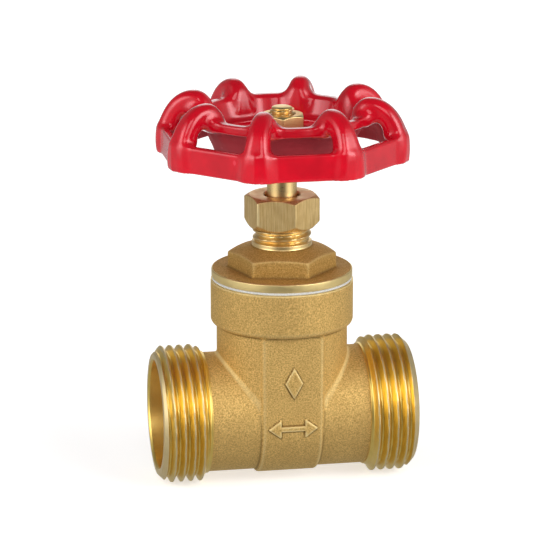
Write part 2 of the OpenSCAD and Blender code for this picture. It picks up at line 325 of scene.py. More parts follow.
def measure_bends(obj, field, reach, adjust):
    """Writes how convex (above 0) or hollow (below 0) the field's surface is at each vertex.

    adjust(bend, x, y, z) may change the values before they are written.
    """
    mesh = obj.data
    points = np.zeros(len(mesh.vertices) * 3)
    mesh.vertices.foreach_get("co", points)
    points = points.reshape(-1, 3) / MM
    total = -6 * field(*points.T)
    for axis in range(3):
        for step in (-reach, reach):
            moved = points.copy()
            moved[:, axis] += step
            total += field(*moved.T)
    bend = adjust(total / 6 / reach, *points.T)
    values = mesh.attributes.new("bend", "FLOAT", "POINT")
    values.data.foreach_set("value", bend.astype(np.float32))


def combine(obj, tool, operation):
    """Joins, cuts or crosses obj with tool, and deletes tool."""
    modifier = obj.modifiers.new("combine", "BOOLEAN")
    modifier.operation = operation
    modifier.object = tool
    modifier.solver = "MANIFOLD"
    bpy.context.view_layer.objects.active = obj
    bpy.ops.object.modifier_apply(modifier=modifier.name)
    bpy.data.objects.remove(tool)


def solid_object(name, work):
    """A closed Blender object from a bmesh, which is used up."""
    mesh = bpy.data.meshes.new(name)
    work.to_mesh(mesh)
    work.free()
    outward(mesh)
    obj = bpy.data.objects.new(name, mesh)
    bpy.context.scene.collection.objects.link(obj)
    return obj


def stand(piece, body, slot, *nodes):
    """The piece takes the place of CAD nodes and moves with their body; slot is not used."""
    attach(piece, body)
    if nodes:
        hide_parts(*nodes)


# ---------------------------------------------------------------- materials


def node_material(name, colour, metallic, roughness):
    """A material with its Principled shader, and the tools to add nodes to it."""
    material = bpy.data.materials.new(name)
    material.use_nodes = True
    tree = material.node_tree
    shader = tree.nodes["Principled BSDF"]
    shader.inputs["Base Color"].default_value = (*colour, 1)
    shader.inputs["Metallic"].default_value = metallic
    shader.inputs["Roughness"].default_value = roughness
    coords = tree.nodes.new("ShaderNodeTexCoord").outputs["Object"]
    return material, tree, shader, coords


def stretched(tree, coords, scale):
    """Object coordinates scaled per axis, for grain that runs one way."""
    mapping = tree.nodes.new("ShaderNodeMapping")
    mapping.inputs["Scale"].default_value = scale
    tree.links.new(coords, mapping.inputs["Vector"])
    return mapping.outputs["Vector"]


def noise(tree, coords, grain_mm, detail=2.0, roughness=0.55):
    """Noise whose features are about grain_mm across."""
    texture = tree.nodes.new("ShaderNodeTexNoise")
    texture.inputs["Scale"].default_value = 1 / (grain_mm * MM)
    texture.inputs["Detail"].default_value = detail
    texture.inputs["Roughness"].default_value = roughness
    tree.links.new(coords, texture.inputs["Vector"])
    return texture.outputs["Fac"]


def spread(tree, value, low, high, out_low=0.0, out_high=1.0):
    """Maps a value's range onto another, clamped."""
    node = tree.nodes.new("ShaderNodeMapRange")
    node.inputs["From Min"].default_value = low
    node.inputs["From Max"].default_value = high
    node.inputs["To Min"].default_value = out_low
    node.inputs["To Max"].default_value = out_high
    tree.links.new(value, node.inputs["Value"])
    return node.outputs["Result"]


def mixed(tree, factor, first, second):
    """A colour between two colours or colour outputs."""
    node = tree.nodes.new("ShaderNodeMix")
    node.data_type = "RGBA"
    tree.links.new(factor, node.inputs["Factor"])
    for socket, value in ((node.inputs[6], first), (node.inputs[7], second)):
        if isinstance(value, tuple):
            socket.default_value = (*value, 1)
        else:
            tree.links.new(value, socket)
    return node.outputs[2]


def bumped(tree, shader, height, depth_mm, strength=1.0, under=None):
    """Bump of a given depth on the shader, on top of an earlier bump if there is one."""
    node = tree.nodes.new("ShaderNodeBump")
    node.inputs["Strength"].default_value = strength
    node.inputs["Distance"].default_value = depth_mm * MM
    tree.links.new(height, node.inputs["Height"])
    if under is not None:
        tree.links.new(under, node.inputs["Normal"])
    tree.links.new(node.outputs["Normal"], shader.inputs["Normal"])
    return node.outputs["Normal"]


def pointiness_mask(tree, low, high):
    """1 where the mesh's own pointiness passes high: above 0.5 is convex, below it is hollow."""
    geometry = tree.nodes.new("ShaderNodeNewGeometry")
    return spread(tree, geometry.outputs["Pointiness"], low, high)


def measured_edge(tree, low, high):
    """1 where the mesh's "bend" value, written by measure_bends, passes high."""
    attribute = tree.nodes.new("ShaderNodeAttribute")
    attribute.attribute_name = "bend"
    return spread(tree, attribute.outputs["Fac"], low, high)


# The cast skin's tones before its shade: two ends of the grain, cloudy patches, pale edges (wear, with a
# painted highlight on the neck's fillet) and painted shade for hollows.
CAST_TONES = [(0.6, 0.4, 0.13), (1.0, 0.72, 0.28), (0.66, 0.43, 0.14), (1.0, 0.82, 0.42), (0.3, 0.18, 0.06)]


def cast_brass(name, shade, measured):
    """Sand-cast and shot-blasted brass: matt, with a fine sparkling grain, cloudy patches, pale edges that
    are partly wear and partly painted highlight, and painted shade in hollows and creases.

    Its edges are found from the mesh's "bend" value where measured is true, else from pointiness.
    """
    tones = [tuple(c * s for c, s in zip(tone, shade)) for tone in CAST_TONES]
    deep, bright, cloudy, wear_and_painted_highlight, hollow = tones
    material, tree, shader, coords = node_material(name, (0.7, 0.5, 0.19), 1.0, 0.75)
    grain = noise(tree, coords, 0.34, 2.0, 0.6)
    clouds = noise(tree, coords, 5.0, 3.0)
    tone = mixed(tree, spread(tree, grain, 0.3, 0.7), deep, bright)
    tone = mixed(tree, spread(tree, clouds, 0.35, 0.7, 0.0, 0.3), tone, cloudy)
    # Pale edge tone: wear on convex edges, plus a painted highlight where a fillet's bend is turned convex.
    # Hollow tone: painted shade in creases and recesses.
    if measured:
        pale = measured_edge(tree, 0.02, 0.18)
        dark = measured_edge(tree, -0.02, -0.19)
    else:
        pale = pointiness_mask(tree, 0.505, 0.56)
        dark = pointiness_mask(tree, 0.495, 0.44)
    tone = mixed(tree, pale, tone, wear_and_painted_highlight)
    tone = mixed(tree, dark, tone, hollow)
    tree.links.new(tone, shader.inputs["Base Color"])
    tree.links.new(spread(tree, grain, 0.3, 0.7, 0.8, 0.66), shader.inputs["Roughness"])
    pits = bumped(tree, shader, clouds, 0.12, 0.5)
    bumped(tree, shader, grain, 0.1, 0.6, under=pits)
    return material


def turned_metal(name, colour, roughness, ring_mm, axis, depth_mm):
    """Metal off the lathe: fine tool marks ring_mm apart along the axis, and slight tarnish."""
    material, tree, shader, coords = node_material(name, colour, 1.0, roughness)
    squeeze = [0.06, 0.06, 0.06]
    squeeze[axis] = 1.0
    marks = noise(tree, stretched(tree, coords, squeeze), ring_mm, 2.0)
    tarnish = noise(tree, coords, 3.0, 3.0)
    dull = tuple(c * 0.8 for c in colour)
    tone = mixed(tree, spread(tree, tarnish, 0.4, 0.75, 0.0, 0.5), colour, dull)
    tree.links.new(tone, shader.inputs["Base Color"])
    rough = spread(tree, marks, 0.3, 0.7, roughness * 0.8, roughness * 1.25)
    tree.links.new(rough, shader.inputs["Roughness"])
    bumped(tree, shader, marks, depth_mm, 0.6)
    return material


def drawn_brass():
    """Brass bar left as drawn on the flats of a nut: fine scratches along the stem."""
    material, tree, shader, coords = node_material("drawn_brass", (0.78, 0.55, 0.22), 1.0, 0.4)
    lines = noise(tree, stretched(tree, coords, (1, 1, 0.04)), 0.25, 3.0, 0.7)
    clouds = noise(tree, coords, 2.5, 3.0)
    tone = mixed(tree, spread(tree, lines, 0.35, 0.65), (0.72, 0.5, 0.19), (1.0, 0.77, 0.38))
    tone = mixed(tree, spread(tree, clouds, 0.4, 0.75, 0.0, 0.4), tone, (0.6, 0.38, 0.14))
    tone = mixed(tree, pointiness_mask(tree, 0.52, 0.6), tone, (0.9, 0.72, 0.38))
    tree.links.new(tone, shader.inputs["Base Color"])
    tree.links.new(spread(tree, lines, 0.3, 0.7, 0.58, 0.44), shader.inputs["Roughness"])
    bumped(tree, shader, lines, 0.03, 0.6)
    return material


def red_coating(name, colour, roughness, gloss, coat, grain_mm, depth_mm):
    """Thick red dip coating, paler on edges: gloss is its specular level and coat its clear top layer."""
    material, tree, shader, coords = node_material(name, colour, 0.0, roughness)
    shader.inputs["Specular IOR Level"].default_value = gloss
    shader.inputs["Specular Tint"].default_value = (1.0, 0.3, 0.35, 1)
    shader.inputs["Coat Weight"].default_value = coat
    shader.inputs["Coat Roughness"].default_value = 0.1
    shader.inputs["Coat IOR"].default_value = 1.5
    peel = noise(tree, coords, grain_mm, 2.0)
    clouds = noise(tree, coords, 6.0, 2.0)
    deep = tuple(c * 0.78 for c in colour)
    pale = (min(colour[0] * 1.15, 1), colour[1] + 0.03, colour[2] + 0.04)
    tone = mixed(tree, spread(tree, clouds, 0.35, 0.7), colour, deep)
    tone = mixed(tree, pointiness_mask(tree, 0.53, 0.66), tone, pale)
    tree.links.new(tone, shader.inputs["Base Color"])
    bumped(tree, shader, peel, depth_mm, 0.5)
    return material


def plain_soft(name, colour, roughness, grain_mm, depth_mm):
    """A soft seal material: even colour with a faint grain."""
    material, tree, shader, coords = node_material(name, colour, 0.0, roughness)
    grain = noise(tree, coords, grain_mm, 3.0)
    dark = tuple(c * 0.8 for c in colour)
    tone = mixed(tree, spread(tree, grain, 0.35, 0.65), dark, colour)
    tree.links.new(tone, shader.inputs["Base Color"])
    bumped(tree, shader, grain, depth_mm, 0.6)
    return material


X, Z = 0, 2
# The bonnet's cast brass is a darker copy of the body's: painted shade for the bonnet under the handwheel.
CAST = cast_brass("cast_brass", (0.73, 0.67, 0.58), measured=False)
CAST_BODY = cast_brass("cast_brass_body", (0.94, 0.95, 0.98), measured=True)
THREAD = turned_metal("thread_brass", (0.9, 0.655, 0.18), 0.36, ring_mm=0.12, axis=X, depth_mm=0.004)
CREST = turned_metal("crest_brass", (0.85, 0.68, 0.36), 0.45, ring_mm=0.2, axis=X, depth_mm=0.004)
BORE = turned_metal("bore_brass", (0.95, 0.66, 0.2), 0.42, ring_mm=0.3, axis=X, depth_mm=0.006)
RIM = turned_metal("rim_brass", (0.95, 0.74, 0.33), 0.42, ring_mm=0.15, axis=Z, depth_mm=0.012)
POLISHED = turned_metal("polished_brass", (0.9, 0.66, 0.3), 0.32, ring_mm=0.1, axis=Z, depth_mm=0.006)
NUT_FACE = turned_metal("nut_face_brass", (0.85, 0.62, 0.28), 0.38, ring_mm=0.15, axis=Z, depth_mm=0.01)
DRAWN = drawn_brass()
RED = red_coating(
    "red_coating", (0.63, 0.0005, 0.013), 0.22, gloss=0.5, coat=0.9, grain_mm=1.6, depth_mm=0.01
)
RED_INNER = red_coating(
    "red_coating_inner", (0.34, 0.03, 0.04), 0.6, gloss=0.25, coat=0.0, grain_mm=0.5, depth_mm=0.08
)
PTFE = plain_soft("ptfe", (0.6, 0.6, 0.58), 0.5, grain_mm=0.4, depth_mm=0.02)
PACKING = plain_soft("packing", (0.05, 0.05, 0.055), 0.6, grain_mm=0.3, depth_mm=0.05)
ZINC = turned_metal("zinc_steel", (0.66, 0.66, 0.64), 0.3, ring_mm=0.15, axis=Z, depth_mm=0.01)


# ---------------------------------------------------------------- the body

# The pipe thread has 11 turns to the inch and the usual depth of 0.64 of its pitch.
PIPE_PITCH = 25.4 / 11
PIPE_DEPTH = 0.64 * PIPE_PITCH
THREAD_START = HALF_LENGTH - 11.4
CREST_DEPTH = 0.07
BRANCH_R = 14.5
CHAMBER_HALF = 7.3
FLAT_Y = 15.0
CHAMBER_BOTTOM_R = 15.25
NECK_R = 15.8
COLLAR_Z = 22.1
BORE_R = 13.06
BORE_DEPTH = 15
PORT_R = 9.0
PORT_HALF = 12.5
NECK_BORE_R = 12.9
NECK_BORE_LOW = 16
BONNET_THREAD_R = 13.95
BONNET_THREAD_LOW = 24.9
INLET_THREAD_TURN = 0.147
OUTLET_THREAD_TURN = 0.962
MARK_PROUD = 0.5
ARROW_Z = -0.7
SADDLE_Z = (3, 16)
BODY_STEP = 0.33
BEND_REACH = 0.4


def cast_body(x, y, z):
    """Distance to the cast part of the body, blended where its shapes meet."""
    branch = soft_max(np.hypot(y, z) - BRANCH_R, abs(x) - THREAD_START - 0.05, 0.2)
    neck = np.hypot(x, y) - NECK_R
    neck = soft_max(neck, abs(y) - FLAT_Y + 1.2, 0.6)
    neck = np.maximum(neck, slab(z, 0, COLLAR_Z + 1))
    across = np.where(z > 0, abs(y), np.hypot(y, z)) - CHAMBER_BOTTOM_R
    chamber = soft_max(across, abs(y) - FLAT_Y, 0.5)
    chamber = soft_max(chamber, abs(x) - CHAMBER_HALF, 0.7)
    chamber = np.maximum(chamber, z - COLLAR_Z - 1)
    collar = soft_max(np.hypot(x, y) - COLLAR_R, COLLAR_Z - z, 1.3)
    collar = soft_max(collar, z - COLLAR_TOP, 0.25)
    solid = soft_min(branch, neck, 0.7)
    solid = soft_min(solid, chamber, 0.5 + np.clip(z / 6, 0, 1.2))
    solid = soft_min(solid, collar, 0.5)
    return soft_min(solid, raised_marks(x, y, z), 0.12)


def raised_marks(x, y, z):
    """A double-headed arrow and a lozenge, standing proud of the flat front."""
    arrow_half, head_start, shaft_half = 6.0, 2.9, 0.6
    lozenge_x, lozenge_z, lozenge_size = 0.2, 10.6, 1.9
    height = abs(z - ARROW_Z)
    shaft = rounded_both(abs(x) - head_start - 0.5, height - shaft_half, 0.3)
    heads = (height + (abs(x) - arrow_half) * 0.75) * 0.8
    heads = np.maximum(heads, head_start - abs(x))
    lozenge = (abs(x - lozenge_x) * 1.8 + abs(z - lozenge_z)) * 0.49 - lozenge_size
    mark = np.minimum(np.minimum(shaft, heads), lozenge)
    return soft_max(mark, slab(y, -FLAT_Y - MARK_PROUD, -FLAT_Y + 1), 0.2)


def threaded_end(theta, turn):
    """Rings of one threaded end along +Z, from inside the branch to the end face."""
    shoulder_r = BRANCH_R + 0.35
    groove_r = THREAD_R - PIPE_DEPTH - 0.25
    rows = corner_rows(theta, [
        (BRANCH_R - 1, THREAD_START - 1.6, 0),
        (BRANCH_R - 1, THREAD_START - 0.55, 0),
        (shoulder_r, THREAD_START - 0.45, 0.1),
        (shoulder_r, THREAD_START - 0.1, 0.1),
        (groove_r, THREAD_START + 0.1, 0),
    ])
    for z in np.arange(THREAD_START + 0.25, HALF_LENGTH - 0.01, 0.125):
        wave = thread_wave(theta, z + turn * PIPE_PITCH, PIPE_PITCH, 1)
        r = THREAD_R - PIPE_DEPTH + PIPE_DEPTH * wave
        run_out = groove_r + (z - THREAD_START - 0.2) * 2.5
        mouth = THREAD_R - 1.9 + (HALF_LENGTH - z)
        rows.append(row(theta, np.minimum(np.minimum(r, mouth), run_out), z))
    rows.append(row(theta, THREAD_R - 2.0, HALF_LENGTH))
    return rows


def make_body():
    """The casting with its threaded ends, bores, gate cavity and guide ribs."""
    low = (-THREAD_START, -COLLAR_R, -CHAMBER_BOTTOM_R)
    high = (THREAD_START, COLLAR_R, COLLAR_TOP)
    skin = net_mesh(cast_body, low, high, BODY_STEP)
    body = new_piece("valve_body_casting", *skin, [CAST_BODY, THREAD, RIM, CREST, BORE])
    theta = angles(180)
    for direction, turn in ((-1, INLET_THREAD_TURN), (1, OUTLET_THREAD_TURN)):
        verts, faces = turned_mesh(threaded_end(theta, turn), loop=False)
        along = np.stack([direction * verts[:, 2], direction * verts[:, 0], verts[:, 1]], axis=1)
        combine(body, new_piece("end", along, faces, [CAST]), "UNION")

    bore = corner_rows(angles(128), [
        (BORE_R + 0.9, -HALF_LENGTH - 0.5, 0),
        (BORE_R, -HALF_LENGTH + 0.4, 0.2),
        (BORE_R, -HALF_LENGTH + BORE_DEPTH, 0.5),
        (PORT_R, -PORT_HALF, 0.3),
        (PORT_R, PORT_HALF, 0.3),
        (BORE_R, HALF_LENGTH - BORE_DEPTH, 0.5),
        (BORE_R, HALF_LENGTH - 0.4, 0.2),
        (BORE_R + 0.9, HALF_LENGTH + 0.5, 0),
    ])
    verts, faces = turned_mesh(bore, loop=False)
    combine(body, new_piece("bore", verts[:, [2, 0, 1]], faces, [CAST]), "DIFFERENCE")

    neck_bore = corner_rows(angles(128), [
        (NECK_BORE_R, NECK_BORE_LOW, 0),
        (NECK_BORE_R, BONNET_THREAD_LOW, 0),
        (BONNET_THREAD_R, BONNET_THREAD_LOW, 0),
        (BONNET_THREAD_R, COLLAR_TOP - 0.4, 0),
        (BONNET_THREAD_R + 0.65, COLLAR_TOP + 0.5, 0),
    ])
    combine(body, new_piece("neck_bore", *turned_mesh(neck_bore, loop=False), [CAST]), "DIFFERENCE")
    combine(body, gate_cavity(), "DIFFERENCE")
    for side in (-1, 1):
        combine(body, guide_rib(side), "UNION")
    finish_mesh(body, body_material, SHARP_ANGLE)
    # The fillet between neck and branch gets a painted highlight instead of painted shade.
    measure_bends(body, cast_body, BEND_REACH, saddle_painted_highlight)
    return body


def saddle_painted_highlight(bend, x, y, z):
    """Painted highlight on the fillet between neck and branch: its hollow bend is turned convex, so it
    takes the pale edge tone and not the hollow's painted shade.

    It gets flatter further down, so the gain grows there, and it fades out at the lower end.
    """
    low, high = SADDLE_Z
    saddle = (z > low) & (z < high) & (abs(x) > CHAMBER_HALF + 0.3) & (abs(x) < NECK_R + 1)
    gain = 1.8 + 0.22 * np.clip(11 - z, 0, 5)
    fade = np.clip((z - low) / 3, 0, 1)
    return np.where(saddle & (bend < 0), -gain * fade * bend, bend)


def gate_cavity():
    """The space the wedge slides in: a tapered slot with a round bottom."""
    cavity_r, shelf, taper_z = 11.4, 17.0, 11.5
    half_at_zero, taper = 5.1, 0.07
    outline = [(cavity_r * math.cos(a), cavity_r * math.sin(a)) for a in np.linspace(-math.pi, 0, 49)]
    outline += [(s * cavity_r, z) for z in (taper_z, shelf) for s in (-1, 1)]
    work = bmesh.new()
    for y, z in outline:
        half = half_at_zero + taper * min(z, taper_z)
        for side in (-1, 1):
            work.verts.new((side * half * MM, y * MM, z * MM))
    bmesh.ops.convex_hull(work, input=work.verts)
    return solid_object("cavity", work)


def guide_rib(side):
    """One of the two ribs that keep the wedge from turning."""
    width, inner, outer, low, high = 2, 10.4, 13.3, -2.0, 24.0
    work = bmesh.new()
    bmesh.ops.create_cube(work, size=1)
    for v in work.verts:
        x = width * v.co.x
        y = side * (inner + (outer - inner) * (v.co.y + 0.5))
        z = low + (high - low) * (v.co.z + 0.5)
        v.co = Vector((x, y, z))
        v.co *= MM
    return solid_object("rib", work)


def body_material(centres, normals):
    """0 on cast skin, 1 on the thread's flanks, 2 on faced tops, 3 on crests and mouths, 4 in the bores."""
    x, y, z = centres.T
    r = np.hypot(y, z)
    machined = (abs(x) > THREAD_START - 0.5) & (r > BORE_R)
    mouth = r > THREAD_R - 2.1 + (HALF_LENGTH - abs(x))
    end_face = abs(x) > HALF_LENGTH - 0.02
    crest = (machined & ((r > THREAD_R - CREST_DEPTH) | mouth)) | end_face
    in_neck = (np.hypot(x, y) < BONNET_THREAD_R + 0.25) & (z > NECK_BORE_LOW)
    faced = (z > COLLAR_TOP - 0.1) | in_neck
    bore = (r < BORE_R + 0.05) & (abs(x) < HALF_LENGTH - 0.45) & (abs(x) > 4)
    return np.select([faced, bore, crest, machined], [2, 4, 3, 1], 0)


stand(make_body(), "valve_body", "cast_brass", "body")


# ---------------------------------------------------------------- the bonnet, gasket and packing nut

BONNET_AF = 22.8
BONNET_PHASE = 48
FLANGE_TOP = 35.57
SKIRT_R = 13.85
SKIRT_BORE_R = 11.6
CONE_R = 7.2
CONE_TOP = 41.1
CONE_SLOPE = 0.302
NECK_ROOT_R = 6.5
NECK_ROOT_Z = 42.55
NECK_THREAD_R = 7.05
NECK_THREAD_PITCH = 1.8
NECK_THREAD_DEPTH = 0.8
PACKING_R = 5.3
STEM_HOLE_R = 3.68
STEM_COLLAR_HOLE_R = 6.0
PACKING_NUT_AF = 16.0
PACKING_NUT_PHASE = 40
PACKING_NUT_BORE_R = 7.1
PACKING_NUT_TOP_R = 7.85
PACKING_NUT_HOLE_R = 4.25
GASKET_BORE_R = 14.0


def make_bonnet():
    """Skirt, flange, hexagon and threaded neck, with the bores inside."""
    theta = angles(288)
    hexagon = polygon_radius(theta, BONNET_AF, 6, BONNET_PHASE, 90)
    cone = CONE_TOP - CONE_SLOPE * (hexagon - CONE_R)
    rows = corner_rows(theta, [
        (SKIRT_BORE_R, SKIRT_BOTTOM, 0),
        (SKIRT_R - 0.55, SKIRT_BOTTOM, 0.1),
        (SKIRT_R, SKIRT_BOTTOM + 0.6, 0.1),
        (SKIRT_R, gasket_high[2], 0),
        (FLANGE_R - 0.25, gasket_high[2], 0.05),
        (FLANGE_R, gasket_high[2] + 0.2, 0.05),
        (FLANGE_R, FLANGE_TOP - 0.2, 0.1),
        (FLANGE_R - 0.25, FLANGE_TOP, 0.1),
        (hexagon, FLANGE_TOP, 0.6),
        (hexagon, cone, 0.45),
        (CONE_R, CONE_TOP, 0.5),
        (CONE_R, NECK_ROOT_Z - 0.25, 0.15),
        (NECK_ROOT_R, NECK_ROOT_Z, 0.1),
    ])
    root_r = NECK_THREAD_R - NECK_THREAD_DEPTH
    for z in np.arange(NECK_ROOT_Z + 0.15, NECK_TOP - 0.6, 0.1):
        r = root_r + NECK_THREAD_DEPTH * thread_wave(theta, z, NECK_THREAD_PITCH, 1)
        rows.append(row(theta, np.minimum(r, NECK_ROOT_R + (z - NECK_ROOT_Z) * 2), z))
    rows += corner_rows(theta, [
        (root_r, NECK_TOP - 0.5, 0),
        (root_r - 0.1, NECK_TOP, 0.1),
        (PACKING_R, NECK_TOP, 0.1),
        (PACKING_R, packing_low[2], 0.1),
        (STEM_HOLE_R, packing_low[2], 0.05),
        (STEM_HOLE_R, thrust_high[2], 0.05),
        (STEM_COLLAR_HOLE_R, thrust_high[2], 0.05),
        (STEM_COLLAR_HOLE_R, ring_high[2], 0.05),
        (ring_high[0], ring_high[2], 0.05),
        (ring_high[0], COLLAR_TOP, 0.2),
        (SKIRT_BORE_R, COLLAR_TOP, 0.2),
    ])
    mesh = turned_mesh(rows, loop=True)
    return new_piece("bonnet_casting", *mesh, [CAST, RIM, POLISHED], bonnet_material)


def bonnet_material(centres, normals):
    """0 on cast skin, 1 on the flange's turned rim and inside, 2 on the neck."""
    x, y, z = centres.T
    r = np.hypot(x, y)
    inside = (r < ring_high[0] + 0.01) & (z < ring_high[2] + 0.1)
    rim = (r > FLANGE_R - 0.3) | (z < gasket_high[2] + 0.01) | inside
    neck = (r < CONE_R + 0.05) & (z > CONE_TOP - 0.2)
    return np.select([neck, rim], [2, 1], 0)


def make_gasket():
    """The thin ring between the collar and the flange, bulging slightly."""
    theta = angles(160)
    low, high, edge = gasket_low[2], gasket_high[2], gasket_high[0]
    rows = corner_rows(theta, [
        (GASKET_BORE_R, low, 0.1),
        (edge - 0.15, low, 0.1),
        (edge + 0.05, (low + high) / 2, 0.3),
        (edge - 0.15, high, 0.1),
        (GASKET_BORE_R, high, 0.1),
    ])
    return new_piece("bonnet_gasket_ring", *turned_mesh(rows, loop=True), [PTFE])


def make_packing_nut():
    """A hexagon chamfered at both ends, hollow below and with the stem's hole on top."""
    theta = angles(288)
    low, high = nut_low[2], nut_high[2]
    bore_r, top_r, hole_r = PACKING_NUT_BORE_R, PACKING_NUT_TOP_R, PACKING_NUT_HOLE_R
    hexagon = polygon_radius(theta, PACKING_NUT_AF, 6, PACKING_NUT_PHASE, 110)
    rows = corner_rows(theta, [
        (bore_r, low + 0.3, 0.05),
        (bore_r + 0.3, low, 0.05),
        (top_r - 0.1, low, 0.1),
        (hexagon, low + (hexagon - top_r + 0.1) * 1.05, 0.2),
        (hexagon, high - (hexagon - top_r) * 0.58, 0.2),
        (top_r, high, 0.15),
        (hole_r + 0.35, high, 0.15),
        (hole_r, high - 0.35, 0.1),
        (hole_r, follower_high[2], 0.05),
        (bore_r, follower_high[2], 0.1),
    ])
    mesh = turned_mesh(rows, loop=True)
    return new_piece("packing_nut_hexagon", *mesh, [DRAWN, NUT_FACE], nut_material)


def nut_material(centres, normals):
    """1 on the turned top and bottom faces and inside, 0 on the drawn flats."""
    r = np.hypot(centres[:, 0], centres[:, 1])
    return np.where((abs(normals[:, 2]) > 0.95) | (r < 7.3), 1, 0)


stand(make_bonnet(), "valve_body", "cast_brass", "bonnet")
stand(make_gasket(), "valve_body", "ptfe", "bonnet_gasket")
stand(make_packing_nut(), "valve_body", "machined_brass", "packing_nut")


# ---------------------------------------------------------------- the stem, washer and wheel nut

WEDGE_THREAD_LEAD = 2.5
WEDGE_THREAD_R = 3.5
WEDGE_THREAD_DEPTH = 0.9
WEDGE_THREAD_TOP = 37.0
STEM_TIP_R = 2.4
STEM_NECK_R = 2.6
STEM_COLLAR_R = 5.6
STEM_COLLAR_Z = (38.1, 40.05)
SHANK_R = 3.6
SHANK_TOP = 64.9
SQUARE_AF = 5.2
STEM_END_R = 2.9
STEM_END_PITCH = 1.0
STEM_END_DEPTH = 0.55
WHEEL_NUT_AF = 10.0
WHEEL_NUT_PHASE = 22.4
WHEEL_PHASE = 22.6


def make_stem():
    """The left-hand wedge thread, the collar, the shank, the wheel's square and the threaded end."""
    theta = angles(96)
    bottom, top = stem_low[2], stem_high[2]
    collar_low, collar_high = STEM_COLLAR_Z
    rows = [row(theta, STEM_TIP_R, bottom)]
    for z in np.arange(bottom + 0.2, WEDGE_THREAD_TOP, 0.2):
        wave = np.clip(thread_wave(theta, z, WEDGE_THREAD_LEAD, -1) * 1.6, 0, 1)
        r = WEDGE_THREAD_R - WEDGE_THREAD_DEPTH + WEDGE_THREAD_DEPTH * wave
        rows.append(row(theta, np.minimum(r, STEM_TIP_R + (z - bottom)), z))
    square = polygon_radius(theta, SQUARE_AF, 4, WHEEL_PHASE - 45, 70)
    square = np.minimum(square, SHANK_R)
    end_root_r = STEM_END_R - STEM_END_DEPTH
    rows += corner_rows(theta, [
        (STEM_NECK_R, WEDGE_THREAD_TOP + 0.2, 0),
        (STEM_NECK_R, collar_low, 0.05),
        (STEM_COLLAR_R, collar_low, 0.1),
        (STEM_COLLAR_R, collar_high, 0.1),
        (SHANK_R, collar_high, 0.1),
        (SHANK_R, SHANK_TOP, 0.1),
        (square, SHANK_TOP + 0.05, 0.05),
        (square, washer_low[2], 0.1),
        (end_root_r, washer_low[2] + 0.05, 0),
    ])
    for z in np.arange(washer_low[2] + 0.15, top - 0.75, 0.1):
        r = end_root_r + STEM_END_DEPTH * thread_wave(theta, z, STEM_END_PITCH, 1)
        rows.append(row(theta, r, z))
    rows += corner_rows(theta, [
        (STEM_END_R - 0.5, top - 0.7, 0),
        (STEM_END_R - 0.35, top - 0.45, 0.2),
        (1.9, top - 0.1, 0.6),
        (0.4, top, 0),
    ])
    return new_piece("stem_spindle", *turned_mesh(rows, loop=False), [POLISHED])


def make_washer():
    """The plain washer under the wheel's nut."""
    low, high, edge = washer_low[2], washer_high[2], washer_high[0]
    hole = STEM_END_R + 0.15
    rows = corner_rows(angles(96), [
        (hole, low, 0.05),
        (edge, low, 0.1),
        (edge, high, 0.1),
        (hole, high, 0.05),
    ])
    return new_piece("wheel_washer_disc", *turned_mesh(rows, loop=True), [ZINC])


def make_wheel_nut():
    """The small hexagon nut that holds the wheel, chamfered on top."""
    theta = angles(240)
    low, high = top_nut_low[2], top_nut_high[2]
    hole, top_r = STEM_END_R + 0.05, WHEEL_NUT_AF / 2 - 0.25
    hexagon = polygon_radius(theta, WHEEL_NUT_AF, 6, WHEEL_NUT_PHASE, 110)
    rows = corner_rows(theta, [
        (hole, low + 0.3, 0.05),
        (hole + 0.35, low, 0.05),
        (hexagon - 0.1, low, 0.1),
        (hexagon, low + 0.15, 0.1),
        (hexagon, high - (hexagon - top_r) * 0.55, 0.15),
        (top_r, high, 0.12),
        (hole + 0.4, high, 0.08),
        (hole, high - 0.4, 0.05),
    ])
    return new_piece("handwheel_nut_hexagon", *turned_mesh(rows, loop=True), [NUT_FACE])


stand(make_stem(), "stem_and_wheel", "polished_brass", "stem")
stand(make_washer(), "stem_and_wheel", "zinc_steel", "wheel_washer")
stand(make_wheel_nut(), "stem_and_wheel", "polished_brass", "handwheel_nut")


# ---------------------------------------------------------------- the handwheel

LOBES = 8
SECTOR = TAU / LOBES
WHEEL_LOW = wheel_low[2]
WHEEL_TOP = wheel_high[2]
LOBE_R = 30.5
BAND_R = 30.5
BAND_T = 2.0
BAND_TOP = WHEEL_LOW + 6.3
RIM_R = (18.7, 21.1)
RIM_Z = (71.7, 74.0)
BOWL_R = 18.9
BOWL_LOW = 64.6
BOWL_SLOPE = 0.39
BOWL_WALL = 1.3
BOWL_FLOOR = (67.1, washer_low[2])
HUB_R = 6.5
HUB_LOW = 64.9
SPOKE_HALF = 3.5
WINDOW_R = (7.6, 14.6)
LOBE_HALF_WIDTH = 3.75
LOBE_NARROWING = 1.6
BAND_LEAN = 0.03
WHEEL_STEP = 0.36
WHEEL_SHARP_ANGLE = 60


def rounded_outline(points, rounds):
    """A closed outline with its corners cut again and again, until it is a smooth curve."""
    points = np.array(points, float)
    for _ in range(rounds):
        ahead = np.roll(points, -1, axis=0)
        near = points * 0.75 + ahead * 0.25
        far = points * 0.25 + ahead * 0.75
        points = np.stack([near, far], axis=1).reshape(-1, 2)
    return points


def outline_distance(r, z, points):
    """Distance to a closed outline in the (r, z) plane, negative inside it."""
    nearest = None
    inside = False
    for (r0, z0), (r1, z1) in zip(points, np.roll(points, -1, axis=0)):
        dr, dz = r1 - r0, z1 - z0
        t = np.clip(((r - r0) * dr + (z - z0) * dz) / (dr**2 + dz**2), 0, 1)
        away = (r - r0 - t * dr) ** 2 + (z - z0 - t * dz) ** 2
        nearest = away if nearest is None else np.minimum(nearest, away)
        if dz != 0:
            crossed = ((z0 <= z) != (z1 <= z)) & (r < r0 + (z - z0) * dr / dz)
            inside = inside ^ crossed
    return np.where(inside, -1, 1) * np.sqrt(nearest)


